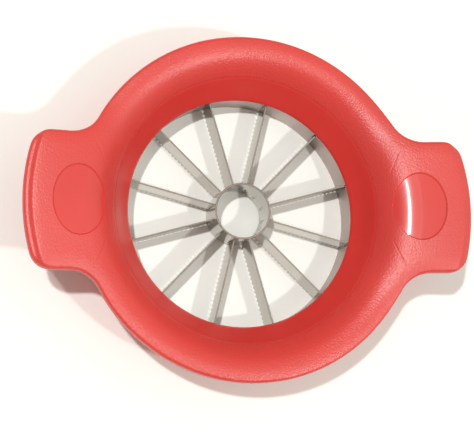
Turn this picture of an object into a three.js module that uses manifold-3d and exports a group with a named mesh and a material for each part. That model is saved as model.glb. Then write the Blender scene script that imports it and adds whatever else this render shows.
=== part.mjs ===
// A hand-pressed apple slicer: it cores an apple and cuts it into twelve wedges.
// It lies on its cutting side. The table is z = 0, the ring's axis is z, and the handles lie along x.
// All sizes are in millimetres and all angles in radians.

import * as THREE from 'three';
import { mergeVertices } from 'three/addons/utils/BufferGeometryUtils.js';
import Module from 'manifold-3d';

const kernel = await Module();
kernel.setup();

// The steel cutting band
const band_inner_radius = 45.0;
const band_thickness = 0.8;
const band_top = 13.45;
const band_bevel_height = 1.5;
const band_foot_width = 0.45;
const band_segments = 96;

// The steel core ring
const core_outer_radius = 11.0;
const core_wall = 0.7;
const core_bottom = 0.3;
const core_top = 16.0;
const core_bevel_height = 1.3;
const core_edge_width = 0.35;
const core_segments = 72;

// The blades
const blade_count = 12;
const blade_thickness = 0.6;
const blade_tip_z = 0.8;
const blade_top = 12.7;
const tooth_count = 19;
const tooth_depth = 0.7;
const ground_height = 2.4;
const ground_edge_width = 0.12;
const inner_tab_bottom = 4.0;
const inner_tab_top = 9.0;
const outer_tab_bottom = 7.0;
const outer_tab_top = 12.0;
const outer_tab_length = 1.1;

// Clearances between the pieces
const slot_clearance = 0.15;
const shoulder_gap = 0.1;
const tab_recess = 0.05;
const groove_clearance = 0.15;
const pocket_end_gap = 0.3;

// The moulded frame: the ring with its lip, collar and turned-down edge
const ring_outer_radius = 65.6;
const rim_height = 29.5;
const lip_overhang = 0.8;
const lip_bottom = 12.9;
const lip_edge_height = 0.8;
const collar_bottom = 6.0;
const collar_wall = 2.25;
const shell_thickness = 2.4;
const skirt_height = 3.6;
const skirt_wall = 2.0;
const edge_round = 1.2;
const edge_reach = 6.0;
const edge_crown = 0.6;
// The dish from the lip to the rim: shares of the way outward, and of the way up
const dish_radius_shares = [0, 0.16, 0.32, 0.46, 0.6, 0.76, 1];
const dish_height_shares = [0, 0.28, 0.56, 0.76, 0.9, 0.975, 1];
// The steep inner slope ends in a crease at the third of these
const crease_share = dish_radius_shares[2];

// The handles
const handle_reach = 85.3;
const handle_half_width = 25.3;
const handle_end_radius = 75.0;
const handle_corner_radius = 8.0;
const root_fillet = 12.5;
const handle_rise = 7.5;
const end_roll_length = 10.3;
const end_roll_drop = 2.5;
// The rise starts and ends at these shares of the ring's radius along x; y delays it by the lean
const rise_start_share = 0.663;
const rise_end_share = 0.983;
const rise_lean = 0.22;
// The rise fades out towards the lip between these shares of the dish
const fade_start_share = 0.1;
const fade_end_share = 0.65;

// The plain polished thumb panel sunk in each handle
const panel_centre = 65.0;
const panel_half_length = 9.5;
const panel_half_width = 12.5;
const panel_depth = 0.5;

// Ribs under the frame
const rib_thickness = 1.4;
const handle_rib_offset = 9.0;
const collar_rib_bottom = 8.0;
const rib_edge_lift = 0.5;
const ring_rib_angles = [60, 90, 120, 240, 270, 300].map(THREE.MathUtils.degToRad);

// How finely the curves are drawn
const bow_steps = 5;
const corner_steps = 5;
const side_steps = 2;
const fillet_steps = 4;
const ring_steps = 10;
const span_steps = 7;
const span_crowding = 1.4;
const edge_inset_shares = [0.5, 1];
const rib_steps = 10;
const panel_segments = 40;
const panel_ring_shares = [0.35, 0.7, 1];

// Sizes that follow from the ones above
const band_outer_radius = band_inner_radius + band_thickness;
const core_inner_radius = core_outer_radius - core_wall;
const lip_radius = band_inner_radius - lip_overhang;
const groove_inner_radius = band_inner_radius - groove_clearance;
const groove_outer_radius = band_outer_radius + groove_clearance;
const groove_top = band_top + groove_clearance;
const collar_outer_radius = groove_outer_radius + collar_wall;
const dish_width = ring_outer_radius - lip_radius;
const lip_top = lip_bottom + lip_edge_height;
const blade_start = core_outer_radius + shoulder_gap;
const blade_end = band_inner_radius - shoulder_gap;
const inner_tab_end = core_inner_radius + tab_recess;
const outer_tab_end = band_outer_radius + outer_tab_length;
const slot_width = blade_thickness + 2 * slot_clearance;

const red_plastic = new THREE.MeshStandardMaterial({ name: 'red_plastic', color: 0xc8322c, roughness: 0.45 });
const steel = new THREE.MeshStandardMaterial({ name: 'steel', color: 0xc9c8c2, roughness: 0.25, metalness: 1 });

// Helpers for solids

function toSolid(geometry) {
  const bare = new THREE.BufferGeometry();
  bare.setAttribute('position', geometry.getAttribute('position').clone());
  if (geometry.index) bare.setIndex(geometry.index.clone());
  const merged = mergeVertices(bare);
  const mesh = new kernel.Mesh({
    numProp: 3,
    vertProperties: Float32Array.from(merged.getAttribute('position').array),
    triVerts: Uint32Array.from(merged.index.array),
  });
  return new kernel.Manifold(mesh);
}

function toGeometry(solid) {
  const mesh = solid.getMesh();
  const geometry = new THREE.BufferGeometry();
  geometry.setAttribute('position', new THREE.BufferAttribute(mesh.vertProperties, 3));
  geometry.setIndex(new THREE.BufferAttribute(mesh.triVerts, 1));
  geometry.computeVertexNormals();
  return geometry;
}

// Skins closed sections, each a loop of points, into one closed ring.
function skin(sections) {
  const count = sections[0].length;
  const positions = sections.flat().flatMap((p) => [p.x, p.y, p.z]);
  const index = [];
  sections.forEach((_, i) => {
    const next = (i + 1) % sections.length;
    for (let j = 0; j < count; j += 1) {
      const k = (j + 1) % count;
      const [a, b, c, d] = [i * count + j, next * count + j, next * count + k, i * count + k];
      index.push(a, b, c, a, c, d);
    }
  });
  const geometry = new THREE.BufferGeometry();
  geometry.setAttribute('position', new THREE.Float32BufferAttribute(positions, 3));
  geometry.setIndex(index);
  return geometry;
}

// Turns a closed profile of [radius, height] pairs about the ring's axis.
function turn(profile, segments) {
  const sections = Array.from({ length: segments }, (_, i) => {
    const angle = (i / segments) * 2 * Math.PI;
    return profile.map(([r, z]) => new THREE.Vector3(r * Math.cos(angle), r * Math.sin(angle), z));
  });
  return skin(sections);
}

// A plate standing on the x axis: its outline is [x, z] pairs and its thickness is centred on y = 0.
function plate(outline, thickness) {
  const shape = new THREE.Shape(outline.map(([x, z]) => new THREE.Vector2(x, z)));
  const geometry = new THREE.ExtrudeGeometry(shape, { depth: thickness, bevelEnabled: false });
  geometry.rotateX(Math.PI / 2);
  geometry.translate(0, thickness / 2, 0);
  return geometry;
}

// A block on the x axis, from one radius to another and from one height to another.
function block(from, to, width, bottom, top) {
  const geometry = new THREE.BoxGeometry(to - from, width, top - bottom);
  geometry.translate((from + to) / 2, 0, (bottom + top) / 2);
  return geometry;
}

function bladeAngle(i) {
  return ((i + 0.5) / blade_count) * 2 * Math.PI;
}

// The same block at every blade, as one solid to cut away.
function atEveryBlade(geometry) {
  const solids = Array.from({ length: blade_count }, (_, i) => toSolid(geometry.clone().rotateZ(bladeAngle(i))));
  return kernel.Manifold.union(solids);
}

// The height of the frame's top surface

const dish_curve = new THREE.CubicInterpolant(dish_radius_shares, dish_height_shares, 1);

function dishHeight(radius) {
  const share = THREE.MathUtils.clamp((radius - lip_radius) / dish_width, 0, 1);
  return lip_top + (rim_height - lip_top) * dish_curve.evaluate(share)[0];
}

function riseHeight(x, y, radius) {
  const along = Math.abs(x) - rise_lean * Math.abs(y);
  const start = rise_start_share * ring_outer_radius;
  const end = rise_end_share * ring_outer_radius;
  const fade_start = lip_radius + fade_start_share * dish_width;
  const fade_end = lip_radius + fade_end_share * dish_width;
  const fade = THREE.MathUtils.smoothstep(radius, fade_start, fade_end);
  return handle_rise * THREE.MathUtils.smoothstep(along, start, end) * fade;
}

function topHeight(x, y, inset = edge_reach) {
  const radius = Math.hypot(x, y);
  const roll = Math.max(0, Math.abs(x) - handle_reach + end_roll_length) / end_roll_length;
  const edge = Math.max(0, 1 - inset / edge_reach);
  return dishHeight(radius) + riseHeight(x, y, radius) - end_roll_drop * roll ** 2 - edge_crown * edge ** 2;
}

// The plan outline of the frame: points with their inward directions, one quarter and its mirror images

function arc(cx, cy, radius, from, to, steps, inward) {
  return Array.from({ length: steps }, (_, i) => {
    const angle = from + ((to - from) * i) / steps;
    const out = new THREE.Vector2(Math.cos(angle), Math.sin(angle));
    const point = new THREE.Vector2(cx, cy).addScaledVector(out, radius);
    return { point, inward: out.multiplyScalar(inward) };
  });
}

function quarterOutline() {
  const bow_x = handle_reach - handle_end_radius;
  const corner_y = handle_half_width - handle_corner_radius;
  const corner_x = bow_x + Math.sqrt((handle_end_radius - handle_corner_radius) ** 2 - corner_y ** 2);
  const corner_start = Math.atan2(corner_y, corner_x - bow_x);
  const fillet_y = handle_half_width + root_fillet;
  const fillet_x = Math.sqrt((ring_outer_radius + root_fillet) ** 2 - fillet_y ** 2);
  const root_angle = Math.atan2(fillet_y, fillet_x);
  const side = Array.from({ length: side_steps }, (_, i) => ({
    point: new THREE.Vector2(corner_x + ((fillet_x - corner_x) * i) / side_steps, handle_half_width),
    inward: new THREE.Vector2(0, -1),
  }));
  return [
    ...arc(bow_x, 0, handle_end_radius, 0, corner_start, bow_steps, -1),
    ...arc(corner_x, corner_y, handle_corner_radius, corner_start, Math.PI / 2, corner_steps, -1),
    ...side,
    ...arc(fillet_x, fillet_y, root_fillet, -Math.PI / 2, root_angle - Math.PI, fillet_steps, 1),
    ...arc(0, 0, ring_outer_radius, root_angle, Math.PI / 2, ring_steps, -1),
  ];
}

function mirrored(edge, sx, sy) {
  const scale = new THREE.Vector2(sx, sy);
  return { point: edge.point.clone().multiply(scale), inward: edge.inward.clone().multiply(scale) };
}

function frameOutline() {
  const quarter = quarterOutline();
  const top = { point: new THREE.Vector2(0, ring_outer_radius), inward: new THREE.Vector2(0, -1) };
  const right = [...quarter, top];
  const back = quarter.slice(1).reverse().map((edge) => mirrored(edge, -1, 1));
  const upper = [...right, ...back];
  const lower = [mirrored(quarter[0], -1, 1), ...upper.slice(1).reverse().map((edge) => mirrored(edge, 1, -1))];
  return [...upper, ...lower];
}

// One closed section of the frame, from the foot of the turned-down edge over the top to the lip,
// round the groove for the band, down and up the collar, and back along the underside
function frameSection(edge) {
  const inset = (d) => edge.point.clone().addScaledVector(edge.inward, d);
  const onTop = (p, d, drop = 0) => new THREE.Vector3(p.x, p.y, topHeight(p.x, p.y, d) - drop);
  const atInset = (d, drop = 0) => onTop(inset(d), d, drop);

  const reach_point = inset(edge_reach);
  const ray = reach_point.clone().normalize();
  const onRay = (r, z) => new THREE.Vector3(ray.x * r, ray.y * r, z);
  const crease_radius = lip_radius + crease_share * dish_width;
  const spans = Array.from({ length: span_steps }, (_, i) => {
    const share = (1 - (i + 1) / (span_steps + 1)) ** span_crowding;
    return THREE.MathUtils.lerp(crease_radius, reach_point.length(), share);
  });
  const top_radii = [...spans, crease_radius, (collar_outer_radius + crease_radius) / 2, collar_outer_radius];
  const under_radii = [collar_outer_radius, crease_radius, ...spans.toReversed()];
  const round_corner = edge_round * (1 - Math.SQRT1_2);
  const foot = topHeight(edge.point.x, edge.point.y, 0) - skirt_height;
  const inner_foot = inset(skirt_wall);

  return [
    new THREE.Vector3(edge.point.x, edge.point.y, foot),
    atInset(0, edge_round),
    atInset(round_corner, round_corner),
    atInset(edge_round),
    ...edge_inset_shares.map((share) => atInset(share * edge_reach)),
    ...top_radii.map((r) => onTop(ray.clone().multiplyScalar(r), edge_reach)),
    onRay(groove_outer_radius, dishHeight(groove_outer_radius)),
    onRay(lip_radius, lip_top),
    onRay(lip_radius, lip_bottom),
    onRay(groove_inner_radius, lip_bottom),
    onRay(groove_inner_radius, groove_top),
    onRay(groove_outer_radius, groove_top),
    onRay(groove_outer_radius, collar_bottom),
    onRay(collar_outer_radius, collar_bottom),
    ...under_radii.map((r) => onTop(ray.clone().multiplyScalar(r), edge_reach, shell_thickness)),
    atInset(edge_reach, shell_thickness),
    atInset(skirt_wall, shell_thickness),
    new THREE.Vector3(inner_foot.x, inner_foot.y, foot),
  ];
}

// A rib under the frame in the direction of an angle, shifted sideways, ending inside the turned-down edge
function rib(angle, sideways, edge_distance) {
  const along = new THREE.Vector2(Math.cos(angle), Math.sin(angle));
  const across = new THREE.Vector2(-along.y, along.x);
  const collar_middle = collar_outer_radius - collar_wall / 3;
  const start = Math.sqrt(collar_middle ** 2 - sideways ** 2);
  const end = edge_distance - skirt_wall / 2;
  const top = Array.from({ length: rib_steps + 1 }, (_, i) => {
    const distance = THREE.MathUtils.lerp(end, start, i / rib_steps);
    const p = along.clone().multiplyScalar(distance).addScaledVector(across, sideways);
    return [distance, topHeight(p.x, p.y, edge_distance - distance) - shell_thickness / 2];
  });
  const end_bottom = top[0][1] + shell_thickness / 2 - skirt_height + rib_edge_lift;
  const outline = [[start, collar_rib_bottom], [end, end_bottom], ...top];
  return plate(outline, rib_thickness).translate(0, sideways, 0).rotateZ(angle);
}

function frameRibs() {
  const bow_x = handle_reach - handle_end_radius;
  const handle_end = bow_x + Math.sqrt(handle_end_radius ** 2 - handle_rib_offset ** 2);
  const ribs = ring_rib_angles.map((angle) => rib(angle, 0, ring_outer_radius));
  for (const angle of [0, Math.PI]) {
    for (const side of [-1, 1]) {
      ribs.push(rib(angle, side * handle_rib_offset, handle_end));
    }
  }
  return ribs.map(toSolid);
}

// A cutter whose underside follows the handle at the panel's depth
function panelCutter(side) {
  const cx = side * panel_centre;
  const lid = rim_height + 2 * handle_rise;
  const floorPoint = (x, y) => new THREE.Vector3(x, y, topHeight(x, y) - panel_depth);
  const sections = Array.from({ length: panel_segments }, (_, i) => {
    const angle = (i / panel_segments) * 2 * Math.PI;
    const [dx, dy] = [panel_half_length * Math.cos(angle), panel_half_width * Math.sin(angle)];
    const floor = panel_ring_shares.map((share) => floorPoint(cx + share * dx, share * dy));
    return [...floor, new THREE.Vector3(cx + dx, dy, lid)];
  });
  const rings = panel_ring_shares.length + 1;
  const positions = sections.flat().flatMap((p) => [p.x, p.y, p.z]);
  const index = [];
  const floor_centre = positions.length / 3;
  const lid_centre = floor_centre + 1;
  const middle = floorPoint(cx, 0);
  positions.push(middle.x, middle.y, middle.z, cx, 0, lid);
  for (let i = 0; i < panel_segments; i += 1) {
    const next = (i + 1) % panel_segments;
    index.push(floor_centre, next * rings, i * rings);
    for (let j = 0; j < rings - 1; j += 1) {
      const [a, b] = [i * rings + j, next * rings + j];
      index.push(a, b, b + 1, a, b + 1, a + 1);
    }
    index.push(lid_centre, (i + 1) * rings - 1, (next + 1) * rings - 1);
  }
  const geometry = new THREE.BufferGeometry();
  geometry.setAttribute('position', new THREE.Float32BufferAttribute(positions, 3));
  geometry.setIndex(index);
  return toSolid(geometry);
}

function buildFrame() {
  const pocket_end = outer_tab_end + pocket_end_gap;
  const pocket_bottom = outer_tab_bottom - slot_clearance;
  const pocket_top = outer_tab_top + slot_clearance;
  const pocket = block(band_outer_radius, pocket_end, slot_width, pocket_bottom, pocket_top);
  const shell = toSolid(skin(frameOutline().map(frameSection)));
  const ribbed = kernel.Manifold.union([shell, ...frameRibs()]);
  const cuts = kernel.Manifold.union([atEveryBlade(pocket), panelCutter(1), panelCutter(-1)]);
  return toGeometry(ribbed.subtract(cuts));
}

function buildBand() {
  const ring = toSolid(turn([
    [band_inner_radius + band_foot_width, 0],
    [band_outer_radius, band_bevel_height],
    [band_outer_radius, band_top],
    [band_inner_radius, band_top],
    [band_inner_radius, 0],
  ], band_segments));
  const slot_bottom = outer_tab_bottom - slot_clearance;
  const slot_top = outer_tab_top + slot_clearance;
  const slot = block(blade_end, outer_tab_end, slot_width, slot_bottom, slot_top);
  return toGeometry(ring.subtract(atEveryBlade(slot)));
}

function buildCoreRing() {
  const ring = toSolid(turn([
    [core_outer_radius, core_bottom],
    [core_outer_radius, core_top],
    [core_inner_radius, core_top],
    [core_inner_radius, core_bottom + core_bevel_height],
    [core_outer_radius - core_edge_width, core_bottom],
  ], core_segments));
  const slot_bottom = inner_tab_bottom - slot_clearance;
  const slot_top = inner_tab_top + slot_clearance;
  const slot = block(core_inner_radius - core_wall, blade_start, slot_width, slot_bottom, slot_top);
  return toGeometry(ring.subtract(atEveryBlade(slot)));
}

// The blade's side view, with its teeth below and a tab at each end
function bladeOutline() {
  const gullet_z = blade_tip_z + tooth_depth;
  const pitch = (blade_end - blade_start) / tooth_count;
  const teeth = [];
  for (let i = 0; i < tooth_count; i += 1) {
    teeth.push([blade_start + i * pitch, gullet_z], [blade_start + (i + 0.5) * pitch, blade_tip_z]);
  }
  return [
    ...teeth,
    [blade_end, gullet_z],
    [blade_end, outer_tab_bottom],
    [outer_tab_end, outer_tab_bottom],
    [outer_tab_end, outer_tab_top],
    [blade_end, outer_tab_top],
    [blade_end, blade_top],
    [blade_start, blade_top],
    [blade_start, inner_tab_top],
    [inner_tab_end, inner_tab_top],
    [inner_tab_end, inner_tab_bottom],
    [blade_start, inner_tab_bottom],
  ];
}

// The blade's cross-section: flat sides, ground to a narrow edge below
function buildBlade() {
  const [half, half_edge] = [blade_thickness / 2, ground_edge_width / 2];
  const cross = new THREE.Shape([
    new THREE.Vector2(-half_edge, blade_tip_z),
    new THREE.Vector2(half_edge, blade_tip_z),
    new THREE.Vector2(half, blade_tip_z + ground_height),
    new THREE.Vector2(half, blade_top),
    new THREE.Vector2(-half, blade_top),
    new THREE.Vector2(-half, blade_tip_z + ground_height),
  ]);
  const bar = new THREE.ExtrudeGeometry(cross, { depth: outer_tab_end, bevelEnabled: false });
  const [x, y, z] = [new THREE.Vector3(1, 0, 0), new THREE.Vector3(0, 1, 0), new THREE.Vector3(0, 0, 1)];
  bar.applyMatrix4(new THREE.Matrix4().makeBasis(y, z, x));
  const blank = toSolid(plate(bladeOutline(), 2 * blade_thickness));
  return toGeometry(blank.intersect(toSolid(bar)));
}

// The assembly

const group = new THREE.Group();
group.name = 'apple_slicer';

function add(name, geometry, material) {
  const mesh = new THREE.Mesh(geometry, material);
  mesh.name = name;
  group.add(mesh);
}

add('frame', buildFrame(), red_plastic);
add('outer_band', buildBand(), steel);
add('core_ring', buildCoreRing(), steel);
const blade = buildBlade();
for (let i = 0; i < blade_count; i += 1) {
  add(`blade_${String(i + 1).padStart(2, '0')}`, blade.clone().rotateZ(bladeAngle(i)), steel);
}

export default group;
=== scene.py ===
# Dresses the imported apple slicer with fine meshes, materials, light and a camera.
# The sizes are the solids' own, apart from the handles' rise and ends and the blades' ground edges
# with their teeth, which are made here closer to the real ones.
# Named sizes are millimetres; the scene's lengths are metres.

import math

import bmesh
import bpy
from mathutils import Matrix, Vector


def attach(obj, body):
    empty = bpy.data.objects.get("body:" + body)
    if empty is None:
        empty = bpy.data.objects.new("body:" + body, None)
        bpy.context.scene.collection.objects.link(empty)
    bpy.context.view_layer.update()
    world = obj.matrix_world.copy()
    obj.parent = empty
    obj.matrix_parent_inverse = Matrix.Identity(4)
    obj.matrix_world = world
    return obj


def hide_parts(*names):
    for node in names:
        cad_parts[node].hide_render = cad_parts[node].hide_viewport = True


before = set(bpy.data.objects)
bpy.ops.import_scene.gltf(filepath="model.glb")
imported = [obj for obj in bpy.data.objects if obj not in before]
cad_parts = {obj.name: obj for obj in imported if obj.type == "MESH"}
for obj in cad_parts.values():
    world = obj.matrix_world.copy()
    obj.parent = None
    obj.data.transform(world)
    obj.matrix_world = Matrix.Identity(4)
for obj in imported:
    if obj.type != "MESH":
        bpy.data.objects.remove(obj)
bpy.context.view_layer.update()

MM = 0.001

# The steel cutting band
band_inner_radius = 45.0
band_thickness = 0.8
band_top = 13.45
band_bevel_height = 1.5
band_foot_width = 0.45
band_edge_break = 0.1

# The steel core ring
core_outer_radius = 11.0
core_wall = 0.7
core_bottom = 0.3
core_top = 16.0
core_bevel_height = 1.3
core_edge_width = 0.35
core_edge_break = 0.12

# The blades
blade_count = 12
blade_thickness = 0.6
blade_tip_z = 0.2
blade_top = 12.7
tooth_count = 19
tooth_depth = 1.8
# The rounded gullets take up this share of each tooth's pitch
gullet_share = 0.52
ground_height = 4.5
ground_edge_width = 0.1
blade_edge_break = 0.04
inner_tab_bottom = 4.0
inner_tab_top = 9.0
outer_tab_bottom = 7.0
outer_tab_top = 12.0
outer_tab_length = 1.1
# How far the tabs' blocks reach into the strip
tab_overlap = 0.2

# Clearances between the pieces
slot_clearance = 0.15
shoulder_gap = 0.1
tab_recess = 0.05
groove_clearance = 0.15
pocket_end_gap = 0.3

# The moulded frame
ring_outer_radius = 65.6
rim_height = 29.5
lip_overhang = 0.8
lip_bottom = 12.9
lip_edge_height = 0.8
lip_round = 0.25
collar_bottom = 6.0
collar_wall = 2.25
shell_thickness = 2.4
skirt_height = 3.6
skirt_wall = 2.0
edge_round = 1.2
edge_reach = 6.0
edge_crown = 0.6
# The dish from the lip to the rim: shares of the way outward, and of the way up
dish_radius_shares = (0, 0.16, 0.32, 0.46, 0.6, 0.76, 1)
dish_height_shares = (0, 0.28, 0.56, 0.76, 0.9, 0.975, 1)
# The steep inner slope ends in a crease at the third of these
crease_share = dish_radius_shares[2]

# The handles
handle_reach = 85.3
handle_half_width = 25.3
handle_end_radius = 75.0
handle_corner_radius = 8.0
root_fillet = 12.5
handle_rise = 7.3
# The top steps down along the bowed end, between these distances from it
end_step_start = 3.6
end_step_end = 1.5
end_step_drop = 0.9
# The rise starts and levels off at these shares of the ring's radius along x, a little later at the sides
rise_start_share = 0.73
rise_end_share = 1.28
rise_side_delay = 3.5
rise_softness = 0.15
# The rise fades out towards the lip between these shares of the dish
fade_start_share = 0.05
fade_end_share = 0.35

# The fine crease at each side of a handle's root lies on a circle about a point of the handle's middle line
root_crease_centre = 99.0
root_crease_radius = 46.0
root_crease_start = 11.0
root_crease_end = 24.5
root_crease_fade = 4.0
crease_half_width = 0.45
crease_depth = 0.08

# The thumb panels
panel_centre = 65.0
panel_half_length = 9.5
panel_half_width = 12.5
panel_depth = 0.5
panel_draft = 0.6
panel_cutter_lift = 2.0

# Ribs under the frame
rib_thickness = 1.4
handle_rib_offset = 9.0
collar_rib_bottom = 8.0
rib_edge_lift = 0.5
ring_rib_angles = (60, 90, 120, 240, 270, 300)

# How finely the curves are drawn
bow_steps = 16
corner_steps = 14
side_steps = 6
fillet_steps = 14
ring_steps = 44
span_steps = 26
span_crowding = 1.4
slope_steps = 10
round_steps = 5
inset_steps = 20
rib_steps = 12
panel_segments = 96
panel_rings = 10
band_segments = 288
core_segments = 192
columns_per_tooth = 16

# Edges that fold by less than these angles, in degrees, are shaded smooth
frame_smooth_angle = 28
ring_smooth_angle = 30
blade_smooth_angle = 12

# The polished finishes' places in the frame's list of materials, and how far up a face must look for them
slope_index = 1
panel_index = 2
facing_up = 0.1

# Colours are linear, and each set of tones is dark, middle and light
textured_reds = ((0.655, 0.038, 0.028), (0.68, 0.04, 0.03), (0.705, 0.042, 0.032))
polished_reds = ((0.655, 0.034, 0.026), (0.68, 0.036, 0.028), (0.7, 0.038, 0.03))
floor_tones = ((0.95, 0.945, 0.9), (0.955, 0.95, 0.905), (0.965, 0.96, 0.915))
# The band's grey steel colour carries a pink tint: a painted reflection of the red plastic around it
band_colour_with_painted_red_reflection = (0.64, 0.54, 0.51)
core_colour = (0.58, 0.55, 0.5)
blade_colour = (0.57, 0.535, 0.48)
key_colour = (1.0, 1.0, 0.99)
fill_colour = (1.0, 1.0, 0.98)
sky_colour = (1.0, 0.97, 0.9)
tone_edges = (0.35, 0.65)
steel_dark_share = 0.78

# The plastic: noise scales are per metre
cloud_scale = 30
grain_scale = 1400
grain_depth = 0.16
ripple_scale = 160
ripple_depth = 0.03
textured_roughness = (0.3, 0.42)
textured_specular = 0.95
polished_roughness = (0.34, 0.46)
coat_roughness = 0.15
slope_gloss = 0.2
panel_gloss = 0.9
# Between these distances from the middle the handles' texture grows rougher by this much
coarse_start = 39.0
coarse_end = 56.0
coarse_roughness = 0.07

# The steel: how rough each piece is, how much its fine lines vary that, and the lines' scales along each axis
band_roughness = 0.5
core_roughness = 0.09
blade_roughness = 0.08
line_roughness = (-0.06, 0.1)
band_brushing = 0.85
line_depth = 0.006
blade_line_scales = (120, 3000, 5200)
round_line_scales = (6, 1, 4200)

# The table
floor_half_width = 1500.0
floor_roughness = 0.6
mottle_scale = 9

# The camera, as fitted to the photograph
picture_width = 474
camera_place = (-117.8, -77.4, 457.8)
camera_target = (-20.35, 9.94, 10.0)
camera_roll = 0.0172
focal_pixels = 1209.3
axis_offset_pixels = (-49.6, -32.9)
sensor_width = 36.0
near_clip = 10.0

# The lamps, in metres: how far each stands to the side for each unit of height, its height, size and power
key_slant = (-0.3545, 0.1293)
fill_slant = (0.475, -0.406)
lamp_height = 1.6
key_size = 0.07
fill_size = 0.1
key_watts = 16.0
fill_watts = 8.5

# The sky's even light, the light that is strongest overhead, and the light from one side
even_light = 0.28
zenith_light = 0.25
zenith_power = 6.0
side_light = 0.64
side_power = 4.0
side_direction = (0.8, 0.0, 0.6)

# Sizes that follow from the ones above
band_outer_radius = band_inner_radius + band_thickness
core_inner_radius = core_outer_radius - core_wall
lip_radius = band_inner_radius - lip_overhang
groove_inner_radius = band_inner_radius - groove_clearance
groove_outer_radius = band_outer_radius + groove_clearance
groove_top = band_top + groove_clearance
collar_outer_radius = groove_outer_radius + collar_wall
dish_width = ring_outer_radius - lip_radius
lip_top = lip_bottom + lip_edge_height
blade_start = core_outer_radius + shoulder_gap
blade_end = band_inner_radius - shoulder_gap
inner_tab_end = core_inner_radius + tab_recess
outer_tab_end = band_outer_radius + outer_tab_length
slot_width = blade_thickness + 2 * slot_clearance
crease_radius = lip_radius + crease_share * dish_width
bow_centre = handle_reach - handle_end_radius


# Mesh helpers

def new_object(name, verts, faces, material, smooth_angle=None):
    """A mesh object from vertices in millimetres."""
    mesh = bpy.data.meshes.new(name)
    mesh.from_pydata([tuple(c * MM for c in v) for v in verts], [], faces)
    mesh.validate()
    obj = bpy.data.objects.new(name, mesh)
    bpy.context.scene.collection.objects.link(obj)
    if material:
        mesh.materials.append(material)
    if smooth_angle is not None:
        smooth(obj, smooth_angle)
    return obj


def smooth(obj, degrees):
    """Shades an object smooth, apart from the edges that fold by more than an angle."""
    angle = math.radians(degrees)
    mesh = obj.data
    mesh.shade_smooth()
    edit = bmesh.new()
    edit.from_mesh(mesh)
    for edge in edit.edges:
        edge.smooth = len(edge.link_faces) == 2 and edge.calc_face_angle(0) < angle
    edit.to_mesh(mesh)
    edit.free()


def skin(sections):
    """Vertices and faces of one closed ring through closed sections."""
    count = len(sections[0])
    verts = [p for section in sections for p in section]
    faces = []
    for i in range(len(sections)):
        n = (i + 1) % len(sections)
        for j in range(count):
            k = (j + 1) % count
            faces.append((i * count + j, n * count + j, n * count + k, i * count + k))
    return verts, faces


def turn(profile, segments):
    """A closed profile of radii and heights, turned about the ring's axis."""
    sections = []
    for i in range(segments):
        angle = 2 * math.pi * i / segments
        sections.append([(r * math.cos(angle), r * math.sin(angle), z) for r, z in profile])
    return skin(sections)


def block(start, end, width, bottom, top, angle):
    """A box that lies along a blade's line."""
    turned = Matrix.Rotation(angle, 3, "Z")
    corners = [(x, y, z) for x in (start, end) for y in (-width / 2, width / 2) for z in (bottom, top)]
    verts = [tuple(turned @ Vector(c)) for c in corners]
    faces = [(0, 1, 3, 2), (4, 6, 7, 5), (0, 4, 5, 1), (2, 3, 7, 6), (0, 2, 6, 4), (1, 5, 7, 3)]
    return verts, faces


def merged(parts):
    """The vertices and faces of several meshes as one."""
    verts, faces = [], []
    for part_verts, part_faces in parts:
        shift = len(verts)
        verts += part_verts
        faces += [tuple(shift + i for i in face) for face in part_faces]
    return verts, faces


def cut(obj, cutter_parts):
    """Cuts closed meshes out of an object."""
    cutter = new_object(obj.name + "_cutter", *merged(cutter_parts), None)
    modifier = obj.modifiers.new("cut", "BOOLEAN")
    modifier.operation = "DIFFERENCE"
    modifier.solver = "EXACT"
    modifier.use_self = True
    modifier.object = cutter
    graph = bpy.context.evaluated_depsgraph_get()
    result = bpy.data.meshes.new_from_object(obj.evaluated_get(graph))
    obj.modifiers.remove(modifier)
    obj.data = result
    bpy.data.objects.remove(cutter, do_unlink=True)


def blade_angles():
    return [2 * math.pi * (i + 0.5) / blade_count for i in range(blade_count)]


# The height of the frame's top surface

def smoothstep(value, start, end):
    t = min(1, max(0, (value - start) / (end - start)))
    return t * t * (3 - 2 * t)


def through(points, values, x):
    """A smooth curve through the values, straight at both ends."""
    i = max(j for j in range(len(points) - 1) if points[j] <= x or j == 0)
    x0, x1 = points[i], points[i + 1]
    v0, v1 = values[i], values[i + 1]
    before = (points[i - 1], values[i - 1]) if i > 0 else (x1, v1)
    after = (points[i + 2], values[i + 2]) if i + 2 < len(points) else (x0, v0)
    half = (x1 - x0) / 2
    wp = half / (x0 - before[0])
    wn = half / (after[0] - x1)
    p = (x - x0) / (x1 - x0)
    share_before = -wp * p ** 3 + 2 * wp * p ** 2 - wp * p
    share_0 = (1 + wp) * p ** 3 + (-1.5 - 2 * wp) * p ** 2 + (-0.5 + wp) * p + 1
    share_1 = (-1 - wn) * p ** 3 + (1.5 + wn) * p ** 2 + 0.5 * p
    share_after = wn * p ** 3 - wn * p ** 2
    return share_before * before[1] + share_0 * v0 + share_1 * v1 + share_after * after[1]


def dish_height(radius):
    share = min(1, max(0, (radius - lip_radius) / dish_width))
    return lip_top + (rim_height - lip_top) * through(dish_radius_shares, dish_height_shares, share)


def rise_height(x, y, radius):
    """The rise into a handle: a soft start, then an arc that levels off."""
    start = rise_start_share * ring_outer_radius
    end = rise_end_share * ring_outer_radius
    delay = rise_side_delay * (y / handle_half_width) ** 2
    share = (abs(x) - start - delay) / (end - start)
    ramp = min(1, (share + math.hypot(share, rise_softness)) / 2)
    fade_start = lip_radius + fade_start_share * dish_width
    fade_end = lip_radius + fade_end_share * dish_width
    return handle_rise * (1 - (1 - ramp) ** 2) * smoothstep(radius, fade_start, fade_end)


def end_step(x, y):
    """The step down along the handle's bowed end: 0 inside it, 1 at the edge."""
    from_bow = math.hypot(abs(x) - bow_centre, min(abs(y), handle_half_width))
    return 1 - smoothstep(handle_end_radius - from_bow, end_step_end, end_step_start)


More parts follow.
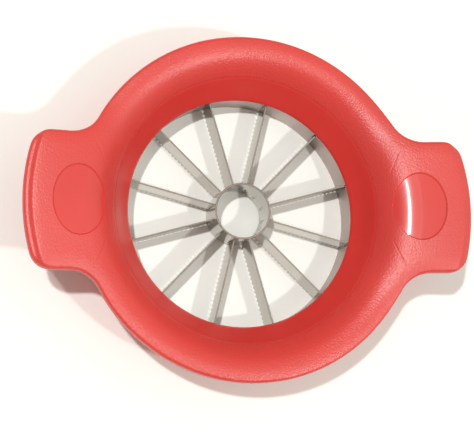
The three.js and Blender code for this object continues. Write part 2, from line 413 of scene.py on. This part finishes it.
def top_height(x, y, inset=edge_reach):
    """The top surface's height at a place that lies this far inside the outline."""
    radius = math.hypot(x, y)
    edge = max(0, 1 - inset / edge_reach)
    lowered = end_step_drop * end_step(x, y) + edge_crown * edge ** 2
    return dish_height(radius) + rise_height(x, y, radius) - lowered


# The plan outline of the frame: points with their inward directions

def arc(cx, cy, radius, start, end, steps, inward):
    """Points along an arc, without its end. Inward is -1 with the plastic on the centre's side, else 1."""
    edges = []
    for i in range(steps):
        angle = start + (end - start) * i / steps
        out = Vector((math.cos(angle), math.sin(angle)))
        edges.append((Vector((cx, cy)) + out * radius, out * inward))
    return edges


def quarter_outline():
    """One handle's bowed end, corner, straight side and root fillet, then the ring as far as x = 0."""
    corner_y = handle_half_width - handle_corner_radius
    corner_x = bow_centre + math.sqrt((handle_end_radius - handle_corner_radius) ** 2 - corner_y ** 2)
    corner_start = math.atan2(corner_y, corner_x - bow_centre)
    fillet_y = handle_half_width + root_fillet
    fillet_x = math.sqrt((ring_outer_radius + root_fillet) ** 2 - fillet_y ** 2)
    root_angle = math.atan2(fillet_y, fillet_x)
    side = []
    for i in range(side_steps):
        x = corner_x + (fillet_x - corner_x) * i / side_steps
        side.append((Vector((x, handle_half_width)), Vector((0, -1))))
    return (
        arc(bow_centre, 0, handle_end_radius, 0, corner_start, bow_steps, -1)
        + arc(corner_x, corner_y, handle_corner_radius, corner_start, math.pi / 2, corner_steps, -1)
        + side
        + arc(fillet_x, fillet_y, root_fillet, -math.pi / 2, root_angle - math.pi, fillet_steps, 1)
        + arc(0, 0, ring_outer_radius, root_angle, math.pi / 2, ring_steps, -1)
    )


def mirrored(edge, sx, sy):
    scale = Matrix.Diagonal((sx, sy))
    return scale @ edge[0], scale @ edge[1]


def frame_outline():
    quarter = quarter_outline()
    right = quarter + [(Vector((0, ring_outer_radius)), Vector((0, -1)))]
    upper = right + [mirrored(edge, -1, 1) for edge in reversed(quarter[1:])]
    lower = [mirrored(edge, 1, -1) for edge in reversed(upper[1:])]
    return upper + [mirrored(quarter[0], -1, 1)] + lower


def frame_section(edge):
    """A closed section: up the outer edge, over the top, round the groove and back along the underside."""
    point, inward = edge

    def inset(distance):
        return point + inward * distance

    def on_top(place, distance, drop=0.0):
        return (place.x, place.y, top_height(place.x, place.y, distance) - drop)

    def at_inset(distance, drop=0.0):
        return on_top(inset(distance), distance, drop)

    reach_point = inset(edge_reach)
    ray = reach_point.normalized()

    def on_ray(radius, z):
        return (ray.x * radius, ray.y * radius, z)

    shares = [(1 - (i + 1) / (span_steps + 1)) ** span_crowding for i in range(span_steps)]
    spans = [crease_radius + (reach_point.length - crease_radius) * share for share in shares]
    slope = [crease_radius + (lip_radius - crease_radius) * i / slope_steps for i in range(slope_steps)]
    # Every second span is enough below
    under = [collar_outer_radius, crease_radius] + spans[::-2]
    rounding = []
    for i in range(round_steps + 1):
        angle = math.pi / 2 * i / round_steps
        rounding.append(at_inset(edge_round * (1 - math.cos(angle)), edge_round * (1 - math.sin(angle))))
    foot = top_height(point.x, point.y, 0) - skirt_height
    inner_foot = inset(skirt_wall)
    insets = [edge_round + (edge_reach - edge_round) * (i + 1) / inset_steps for i in range(inset_steps)]
    last_slope = slope[-1]
    return (
        [(point.x, point.y, foot)]
        + rounding
        + [at_inset(distance) for distance in insets]
        + [on_top(ray * radius, edge_reach) for radius in spans]
        + [on_top(ray * radius, edge_reach) for radius in slope]
        + [on_ray((last_slope + lip_radius) / 2, dish_height((last_slope + lip_radius) / 2))]
        + [on_ray(lip_radius + lip_round, lip_top + lip_round / 2), on_ray(lip_radius, lip_top - lip_round)]
        + [on_ray(lip_radius, lip_bottom + lip_round), on_ray(lip_radius + lip_round, lip_bottom)]
        + [on_ray(groove_inner_radius, lip_bottom), on_ray(groove_inner_radius, groove_top)]
        + [on_ray(groove_outer_radius, groove_top), on_ray(groove_outer_radius, collar_bottom)]
        + [on_ray(collar_outer_radius, collar_bottom)]
        + [on_top(ray * radius, edge_reach, shell_thickness) for radius in under]
        + [at_inset(edge_reach, shell_thickness), at_inset(skirt_wall, shell_thickness)]
        + [(inner_foot.x, inner_foot.y, foot)]
    )


def rib(angle, sideways, edge_distance):
    """A rib in the direction of an angle, shifted sideways, that ends inside the turned-down edge."""
    along = Vector((math.cos(angle), math.sin(angle)))
    across = Vector((-along.y, along.x))
    inside_collar = collar_outer_radius - collar_wall / 3
    start = math.sqrt(inside_collar ** 2 - sideways ** 2)
    end = edge_distance - skirt_wall / 2
    top, bottom = [], []
    for i in range(rib_steps + 1):
        share = i / rib_steps
        distance = start + (end - start) * share
        place = along * distance + across * sideways
        top.append((distance, top_height(place.x, place.y, edge_distance - distance) - shell_thickness / 2))
    end_bottom = top[-1][1] + shell_thickness / 2 - skirt_height + rib_edge_lift
    for i in range(rib_steps + 1):
        share = i / rib_steps
        bottom.append((top[i][0], collar_rib_bottom + (end_bottom - collar_rib_bottom) * share))
    verts = []
    for shift in (-rib_thickness / 2, rib_thickness / 2):
        for distance, z in top + bottom:
            place = along * distance + across * (sideways + shift)
            verts.append((place.x, place.y, z))
    side = 2 * (rib_steps + 1)
    faces = []
    for i in range(rib_steps):
        t0, t1, b0, b1 = i, i + 1, rib_steps + 1 + i, rib_steps + 2 + i
        faces.append((t0, b0, b1, t1))
        faces.append((side + t0, side + t1, side + b1, side + b0))
        faces.append((t0, t1, side + t1, side + t0))
        faces.append((b0, side + b0, side + b1, b1))
    last_top, first_bottom, last_bottom = rib_steps, rib_steps + 1, 2 * rib_steps + 1
    faces.append((0, side, side + first_bottom, first_bottom))
    faces.append((last_top, last_bottom, side + last_bottom, side + last_top))
    return verts, faces


def frame_ribs():
    handle_end = bow_centre + math.sqrt(handle_end_radius ** 2 - handle_rib_offset ** 2)
    ribs = [rib(math.radians(angle), 0, ring_outer_radius) for angle in ring_rib_angles]
    for angle in (0, math.pi):
        for side in (-1, 1):
            ribs.append(rib(angle, side * handle_rib_offset, handle_end))
    return ribs


def panel_cutter(side):
    """A closed cutter whose floor follows the handle at the panel's depth and whose wall leans outward."""
    cx = side * panel_centre
    verts, faces = [(cx, 0, top_height(cx, 0) - panel_depth)], []
    for ring in range(1, panel_rings + 1):
        share = ring / panel_rings
        for i in range(panel_segments):
            angle = 2 * math.pi * i / panel_segments
            x = cx + share * panel_half_length * math.cos(angle)
            y = share * panel_half_width * math.sin(angle)
            verts.append((x, y, top_height(x, y) - panel_depth))
    lean = 1 + panel_draft * (panel_depth + panel_cutter_lift) / panel_depth / panel_half_width
    for i in range(panel_segments):
        angle = 2 * math.pi * i / panel_segments
        x = panel_half_length * math.cos(angle)
        y = panel_half_width * math.sin(angle)
        verts.append((cx + x * lean, y * lean, top_height(cx + x, y) + panel_cutter_lift))
    verts.append((cx, 0, top_height(cx, 0) + panel_cutter_lift))
    lid = len(verts) - 1
    for i in range(panel_segments):
        n = (i + 1) % panel_segments
        faces.append((0, 1 + n, 1 + i))
        for ring in range(panel_rings):
            a, b = 1 + ring * panel_segments + i, 1 + ring * panel_segments + n
            faces.append((a, b, b + panel_segments, a + panel_segments))
        faces.append((lid, lid - panel_segments + i, lid - panel_segments + n))
    return verts, faces


# Materials

def material(name, base, roughness, metallic=0.0):
    """A new material, its node tree and its shader."""
    made = bpy.data.materials.new(name)
    made.use_nodes = True
    shader = made.node_tree.nodes["Principled BSDF"]
    shader.inputs["Base Color"].default_value = (*base, 1)
    shader.inputs["Roughness"].default_value = roughness
    shader.inputs["Metallic"].default_value = metallic
    return made, made.node_tree, shader


def node(tree, kind, **settings):
    """A new node with its settings."""
    made = tree.nodes.new(kind)
    for key, value in settings.items():
        setattr(made, key, value)
    return made


def noise(tree, vector, scale, detail=3.0, roughness=0.5):
    """Noise between 0 and 1 at a vector."""
    made = node(tree, "ShaderNodeTexNoise")
    made.inputs["Scale"].default_value = scale
    made.inputs["Detail"].default_value = detail
    made.inputs["Roughness"].default_value = roughness
    tree.links.new(vector, made.inputs["Vector"])
    return made.outputs["Fac"]


def ranged(tree, value, low, high, start=0.0, end=1.0):
    """A value that goes from low to high while another goes from start to end."""
    made = node(tree, "ShaderNodeMapRange")
    made.inputs["From Min"].default_value = start
    made.inputs["From Max"].default_value = end
    made.inputs["To Min"].default_value = low
    made.inputs["To Max"].default_value = high
    tree.links.new(value, made.inputs["Value"])
    return made.outputs["Result"]


def maths(tree, operation, first, second=0.0):
    """One calculation: each value is a number or another node's output."""
    made = node(tree, "ShaderNodeMath", operation=operation)
    for socket, value in zip(made.inputs, (first, second)):
        if isinstance(value, bpy.types.NodeSocket):
            tree.links.new(value, socket)
        else:
            socket.default_value = value
    return made.outputs["Value"]


def bump(tree, height, distance, under=None):
    """A bumped normal, over another bump's normal where one is given."""
    made = node(tree, "ShaderNodeBump")
    made.inputs["Distance"].default_value = distance
    tree.links.new(height, made.inputs["Height"])
    if under:
        tree.links.new(under, made.inputs["Normal"])
    return made.outputs["Normal"]


def tinted(tree, shader, value, dark, light):
    """Colours a shader from dark to light as a value rises."""
    ramp = node(tree, "ShaderNodeValToRGB")
    for element, position, tone in zip(ramp.color_ramp.elements, tone_edges, (dark, light)):
        element.position = position
        element.color = (*tone, 1)
    tree.links.new(value, ramp.inputs["Fac"])
    tree.links.new(ramp.outputs["Color"], shader.inputs["Base Color"])


def object_coordinates(tree):
    return node(tree, "ShaderNodeTexCoord").outputs["Object"]


def scaled(tree, vector, scale):
    made = node(tree, "ShaderNodeVectorMath", operation="MULTIPLY")
    made.inputs[1].default_value = scale
    tree.links.new(vector, made.inputs[0])
    return made.outputs["Vector"]


def circle_line(tree, x, y, radius):
    """1 along a circle about x = y = 0, falling to 0 beside it."""
    squares = maths(tree, "ADD", maths(tree, "MULTIPLY", x, x), maths(tree, "MULTIPLY", y, y))
    off_circle = maths(tree, "ABSOLUTE", maths(tree, "SUBTRACT", maths(tree, "SQRT", squares), radius * MM))
    return ranged(tree, off_circle, 1, 0, 0, crease_half_width * MM)


def creases(tree, place):
    """1 along the crease round the dish and the fine creases at the handles' roots, 0 elsewhere."""
    parts = node(tree, "ShaderNodeSeparateXYZ")
    tree.links.new(place, parts.inputs["Vector"])
    across = parts.outputs["Y"]
    along = maths(tree, "SUBTRACT", maths(tree, "ABSOLUTE", parts.outputs["X"]), root_crease_centre * MM)
    round_dish = circle_line(tree, parts.outputs["X"], across, crease_radius)
    aside = maths(tree, "ABSOLUTE", across)
    faded_in = (root_crease_start + root_crease_fade) * MM
    fading_out = (root_crease_end - root_crease_fade) * MM
    inner_end = ranged(tree, aside, 0, 1, root_crease_start * MM, faded_in)
    outer_end = ranged(tree, aside, 1, 0, fading_out, root_crease_end * MM)
    towards_ring = maths(tree, "LESS_THAN", along, 0)
    ends = maths(tree, "MULTIPLY", inner_end, maths(tree, "MULTIPLY", outer_end, towards_ring))
    at_roots = maths(tree, "MULTIPLY", circle_line(tree, along, across, root_crease_radius), ends)
    return maths(tree, "MAXIMUM", round_dish, at_roots)


def textured_plastic():
    """Red plastic with the fine texture of the mould, rougher on the handles."""
    dark, middle, light = textured_reds
    made, tree, shader = material("red_textured", middle, roughness=0.4)
    place = object_coordinates(tree)
    grain = noise(tree, place, grain_scale, detail=2.0, roughness=0.6)
    cloud = noise(tree, place, cloud_scale)
    tinted(tree, shader, cloud, dark, light)
    parts = node(tree, "ShaderNodeSeparateXYZ")
    tree.links.new(place, parts.inputs["Vector"])
    out = maths(tree, "ABSOLUTE", parts.outputs["X"])
    coarse = ranged(tree, out, 0, coarse_roughness, coarse_start * MM, coarse_end * MM)
    roughness = maths(tree, "ADD", ranged(tree, grain, *textured_roughness), coarse)
    tree.links.new(roughness, shader.inputs["Roughness"])
    shader.inputs["Specular IOR Level"].default_value = textured_specular
    crease = bump(tree, maths(tree, "SUBTRACT", 1, creases(tree, place)), crease_depth * MM)
    tree.links.new(bump(tree, grain, grain_depth * MM, crease), shader.inputs["Normal"])
    return made


def polished_plastic(name, gloss):
    """The plastic where the mould is polished: the dish's inner slope and, glossier, the thumb panels."""
    dark, middle, light = polished_reds
    made, tree, shader = material(name, middle, roughness=0.2)
    place = object_coordinates(tree)
    ripple = noise(tree, place, ripple_scale, detail=2.0)
    cloud = noise(tree, place, cloud_scale)
    tinted(tree, shader, cloud, dark, light)
    tree.links.new(ranged(tree, ripple, *polished_roughness), shader.inputs["Roughness"])
    shader.inputs["Coat Weight"].default_value = gloss
    shader.inputs["Coat Roughness"].default_value = coat_roughness
    crease = bump(tree, maths(tree, "SUBTRACT", 1, creases(tree, place)), crease_depth * MM)
    tree.links.new(bump(tree, ripple, ripple_depth * MM, crease), shader.inputs["Normal"])
    return made


def steel(name, lines, roughness, base, brushed=0.0):
    """Stainless steel with fine lines, in the space that the function of the lines gives."""
    made, tree, shader = material(name, base, roughness, metallic=1.0)
    shader.inputs["Anisotropic"].default_value = brushed
    if brushed:
        tangent = node(tree, "ShaderNodeTangent", direction_type="RADIAL", axis="Z")
        tree.links.new(tangent.outputs["Tangent"], shader.inputs["Tangent"])
    line = noise(tree, lines(tree), 1.0, detail=4.0, roughness=0.65)
    dark = tuple(c * steel_dark_share for c in base)
    tinted(tree, shader, line, dark, base)
    low, high = (roughness + change for change in line_roughness)
    tree.links.new(ranged(tree, line, low, high), shader.inputs["Roughness"])
    tree.links.new(bump(tree, line, line_depth * MM), shader.inputs["Normal"])
    return made


def along_blade(tree):
    """A blade's own axes, stretched so that lines run along it."""
    return scaled(tree, object_coordinates(tree), blade_line_scales)


def round_axis(tree):
    """Height and angle about the ring's axis, so that lines run round it."""
    parts = node(tree, "ShaderNodeSeparateXYZ")
    tree.links.new(object_coordinates(tree), parts.inputs["Vector"])
    joined = node(tree, "ShaderNodeCombineXYZ")
    tree.links.new(maths(tree, "ARCTAN2", parts.outputs["Y"], parts.outputs["X"]), joined.inputs["X"])
    tree.links.new(parts.outputs["Z"], joined.inputs["Z"])
    return scaled(tree, joined.outputs["Vector"], round_line_scales)


def floor_material():
    dark, middle, light = floor_tones
    made, tree, shader = material("floor", middle, floor_roughness)
    mottle = noise(tree, object_coordinates(tree), mottle_scale)
    tinted(tree, shader, mottle, dark, light)
    return made


# The pieces

def add_ribs(obj, textured):
    """Adds the ribs' meshes to the moulding's."""
    ribs = new_object("ribs", *merged(frame_ribs()), textured)
    edit = bmesh.new()
    edit.from_mesh(obj.data)
    edit.from_mesh(ribs.data)
    edit.to_mesh(obj.data)
    edit.free()
    bpy.data.objects.remove(ribs, do_unlink=True)


def add_polish(obj):
    """Gives the dish's inner slope and the thumb panels their polished finishes."""
    obj.data.materials.append(polished_plastic("red_slope", slope_gloss))
    obj.data.materials.append(polished_plastic("red_panel", panel_gloss))
    for face in obj.data.polygons:
        x, y = face.center.x / MM, face.center.y / MM
        radius = math.hypot(x, y)
        in_panel = math.hypot((abs(x) - panel_centre) / panel_half_length, y / panel_half_width) < 1
        above = face.normal.z > facing_up or radius < groove_inner_radius
        if above and radius < crease_radius:
            face.material_index = slope_index
        elif above and in_panel:
            face.material_index = panel_index


def make_frame():
    textured = textured_plastic()
    obj = new_object("frame_moulding", *skin([frame_section(edge) for edge in frame_outline()]), textured)
    pocket = (band_outer_radius, outer_tab_end + pocket_end_gap, slot_width)
    heights = (outer_tab_bottom - slot_clearance, outer_tab_top + slot_clearance)
    pockets = [block(*pocket, *heights, angle) for angle in blade_angles()]
    cut(obj, pockets + [panel_cutter(1), panel_cutter(-1)])
    add_ribs(obj, textured)
    add_polish(obj)
    smooth(obj, frame_smooth_angle)
    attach(obj, "root")
    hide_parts("frame")


def make_ring(name, node_name, profile, segments, slot_box, metal):
    """A turned ring with a slot for every blade's tab."""
    obj = new_object(name, *turn(profile, segments), metal)
    start, end, bottom, top = slot_box
    cut(obj, [block(start, end, slot_width, bottom, top, angle) for angle in blade_angles()])
    smooth(obj, ring_smooth_angle)
    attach(obj, "root")
    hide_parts(node_name)


def make_band():
    edge = band_edge_break
    profile = [
        (band_inner_radius + band_foot_width, 0),
        (band_outer_radius, band_bevel_height),
        (band_outer_radius, band_top - edge),
        (band_outer_radius - edge, band_top),
        (band_inner_radius + edge, band_top),
        (band_inner_radius, band_top - edge),
        (band_inner_radius, 0),
    ]
    # The band's colour holds a painted pink reflection of the red plastic
    metal = steel("band_steel", round_axis, band_roughness, band_colour_with_painted_red_reflection, band_brushing)
    slot_box = (blade_end, outer_tab_end, outer_tab_bottom - slot_clearance, outer_tab_top + slot_clearance)
    make_ring("band", "outer_band", profile, band_segments, slot_box, metal)


def make_core_ring():
    edge = core_edge_break
    profile = [
        (core_outer_radius, core_bottom),
        (core_outer_radius, core_top - edge),
        (core_outer_radius - edge, core_top),
        (core_inner_radius + edge, core_top),
        (core_inner_radius, core_top - edge),
        (core_inner_radius, core_bottom + core_bevel_height),
        (core_outer_radius - core_edge_width, core_bottom),
    ]
    metal = steel("core_steel", round_axis, core_roughness, core_colour)
    start = core_inner_radius - core_wall
    slot_box = (start, blade_start, inner_tab_bottom - slot_clearance, inner_tab_top + slot_clearance)
    make_ring("core_tube", "core_ring", profile, core_segments, slot_box, metal)


def blade_mesh():
    """One blade on the x axis: a ground, serrated strip and its two tabs."""
    half, half_edge = blade_thickness / 2, ground_edge_width / 2
    ground_top = blade_tip_z + ground_height
    columns = tooth_count * columns_per_tooth
    verts, faces = [], []
    for i in range(columns + 1):
        x = blade_start + (blade_end - blade_start) * i / columns
        phase = (i % columns_per_tooth) / columns_per_tooth
        from_gullet = abs(2 * phase - 1) / gullet_share
        lift = tooth_depth * math.sqrt(max(0, 1 - from_gullet ** 2))
        z = blade_tip_z + lift
        width = half_edge + (half - half_edge) * lift / ground_height
        verts += [
            (x, -width, z), (x, width, z), (x, half, ground_top), (x, half, blade_top - blade_edge_break),
            (x, half - blade_edge_break, blade_top), (x, blade_edge_break - half, blade_top),
            (x, -half, blade_top - blade_edge_break), (x, -half, ground_top),
        ]
    count = len(verts) // (columns + 1)
    for i in range(columns):
        for j in range(count):
            k = (j + 1) % count
            faces.append((i * count + j, (i + 1) * count + j, (i + 1) * count + k, i * count + k))
    faces.append(tuple(range(count)))
    faces.append(tuple(columns * count + j for j in reversed(range(count))))
    inner_root, outer_root = blade_start + tab_overlap, blade_end - tab_overlap
    inner = block(inner_tab_end, inner_root, blade_thickness, inner_tab_bottom, inner_tab_top, 0)
    outer = block(outer_root, outer_tab_end, blade_thickness, outer_tab_bottom, outer_tab_top, 0)
    return merged([(verts, faces), inner, outer])


def make_blades():
    metal = steel("blade_steel", along_blade, blade_roughness, blade_colour)
    first = new_object("blade_piece_01", *blade_mesh(), metal, blade_smooth_angle)
    for i, angle in enumerate(blade_angles()):
        obj = first
        if i > 0:
            obj = bpy.data.objects.new(f"blade_piece_{i + 1:02d}", first.data)
            bpy.context.scene.collection.objects.link(obj)
        obj.rotation_euler = (0, 0, angle)
        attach(obj, "root")
        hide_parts(f"blade_{i + 1:02d}")


# The table, the lights and the camera

def make_floor():
    half = floor_half_width
    corners = [(-half, -half, 0), (half, -half, 0), (half, half, 0), (-half, half, 0)]
    floor = new_object("floor", corners, [(0, 1, 2, 3)], floor_material())


def lamp(name, slant, size, watts, colour):
    """A round lamp that looks at the middle of the table."""
    data = bpy.data.lights.new(name, "AREA")
    data.shape = "DISK"
    data.size = size
    data.energy = watts
    data.color = colour
    obj = bpy.data.objects.new(name, data)
    place = Vector((slant[0] * lamp_height, slant[1] * lamp_height, lamp_height))
    obj.location = place
    obj.rotation_euler = place.to_track_quat("Z", "Y").to_euler()
    bpy.context.scene.collection.objects.link(obj)


def sky_lobe(tree, direction, power, strength):
    """Light that is strongest from one direction of the sky."""
    facing = node(tree, "ShaderNodeVectorMath", operation="DOT_PRODUCT")
    facing.inputs[1].default_value = direction
    tree.links.new(node(tree, "ShaderNodeTexCoord").outputs["Generated"], facing.inputs[0])
    ahead = maths(tree, "MAXIMUM", facing.outputs["Value"], 0)
    return maths(tree, "MULTIPLY", maths(tree, "POWER", ahead, power), strength)


def make_lights():
    lamp("key", key_slant, key_size, key_watts, key_colour)
    lamp("fill", fill_slant, fill_size, fill_watts, fill_colour)
    world = bpy.data.worlds.new("studio")
    world.use_nodes = True
    tree = world.node_tree
    overhead = sky_lobe(tree, (0, 0, 1), zenith_power, zenith_light)
    beside = sky_lobe(tree, side_direction, side_power, side_light)
    back = tree.nodes["Background"]
    back.inputs["Color"].default_value = (*sky_colour, 1)
    whole_sky = maths(tree, "ADD", even_light, maths(tree, "ADD", overhead, beside))
    tree.links.new(whole_sky, back.inputs["Strength"])
    bpy.context.scene.world = world


def make_camera():
    place = Vector(camera_place) * MM
    forward = (Vector(camera_target) * MM - place).normalized()
    up_hint = Vector((math.sin(camera_roll), math.cos(camera_roll), 0))
    right = forward.cross(up_hint).normalized()
    up = right.cross(forward)
    data = bpy.data.cameras.new("camera")
    data.sensor_fit = "HORIZONTAL"
    data.sensor_width = sensor_width
    data.lens = focal_pixels * sensor_width / picture_width
    data.shift_x = -axis_offset_pixels[0] / picture_width
    data.shift_y = axis_offset_pixels[1] / picture_width
    data.clip_start = near_clip * MM
    camera = bpy.data.objects.new("camera", data)
    turned = Matrix((right, up, -forward)).transposed().to_4x4()
    camera.matrix_world = Matrix.Translation(place) @ turned
    bpy.context.scene.collection.objects.link(camera)
    bpy.context.scene.camera = camera


bpy.context.scene.view_settings.view_transform = "Standard"
make_camera()
make_frame()
make_band()
make_core_ring()
make_blades()
make_floor()
make_lights()
bpy.context.view_layer.update()
